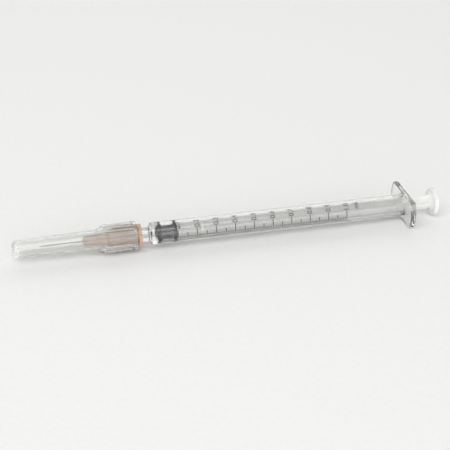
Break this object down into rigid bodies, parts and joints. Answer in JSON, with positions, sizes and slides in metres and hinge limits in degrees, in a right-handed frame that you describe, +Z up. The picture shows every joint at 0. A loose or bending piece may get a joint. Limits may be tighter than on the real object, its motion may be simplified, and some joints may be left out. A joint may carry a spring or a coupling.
{
  "type": "disposable syringe",
  "caption": "Small single-use syringe with a slip nozzle, a printed scale, a sliding plunger, and a fine needle under a ribbed cap.",
  "frame": {"origin": "on the surface that the syringe lies on, below the middle of its length", "axes": "+X along the barrel's axis towards the thumb disc, the needle towards -X, +Z up, the finger flange's wings along Y"},
  "size_m": [0.1296, 0.0176, 0.0088],
  "materials": {
    "clear_polypropylene": "clear moulded polypropylene, slightly grey",
    "scale_ink": "black screen-printed ink",
    "gasket_rubber": "moulded black rubber, satin with silicone oil",
    "rod_polypropylene": "milky moulded polypropylene",
    "brown_polypropylene": "translucent brown moulded polypropylene",
    "stainless_steel": "drawn and ground stainless steel",
    "epoxy_bond": "clear cured adhesive",
    "cap_polypropylene": "clear to milky moulded polypropylene"
  },
  "bodies": {
    "barrel": {"barrel": "clear_polypropylene", "scale_print": "scale_ink"},
    "plunger": {"plunger_rod": "rod_polypropylene", "gasket": "gasket_rubber"},
    "needle": {"needle_hub": "brown_polypropylene", "cannula": "stainless_steel", "cannula_bond": "epoxy_bond"},
    "cap": {"needle_cap": "cap_polypropylene"}
  },
  "joints": [
    {"name": "plunger_slide", "type": "slide", "parent": "barrel", "child": "plunger", "axis": [1, 0, 0], "range_m": [0, 0.0673]},
    {"name": "needle_pull", "type": "slide", "parent": "barrel", "child": "needle", "axis": [-1, 0, 0], "range_m": [0, 0.012]},
    {"name": "cap_pull", "type": "slide", "parent": "needle", "child": "cap", "axis": [-1, 0, 0], "range_m": [0, 0.04]}
  ]
}
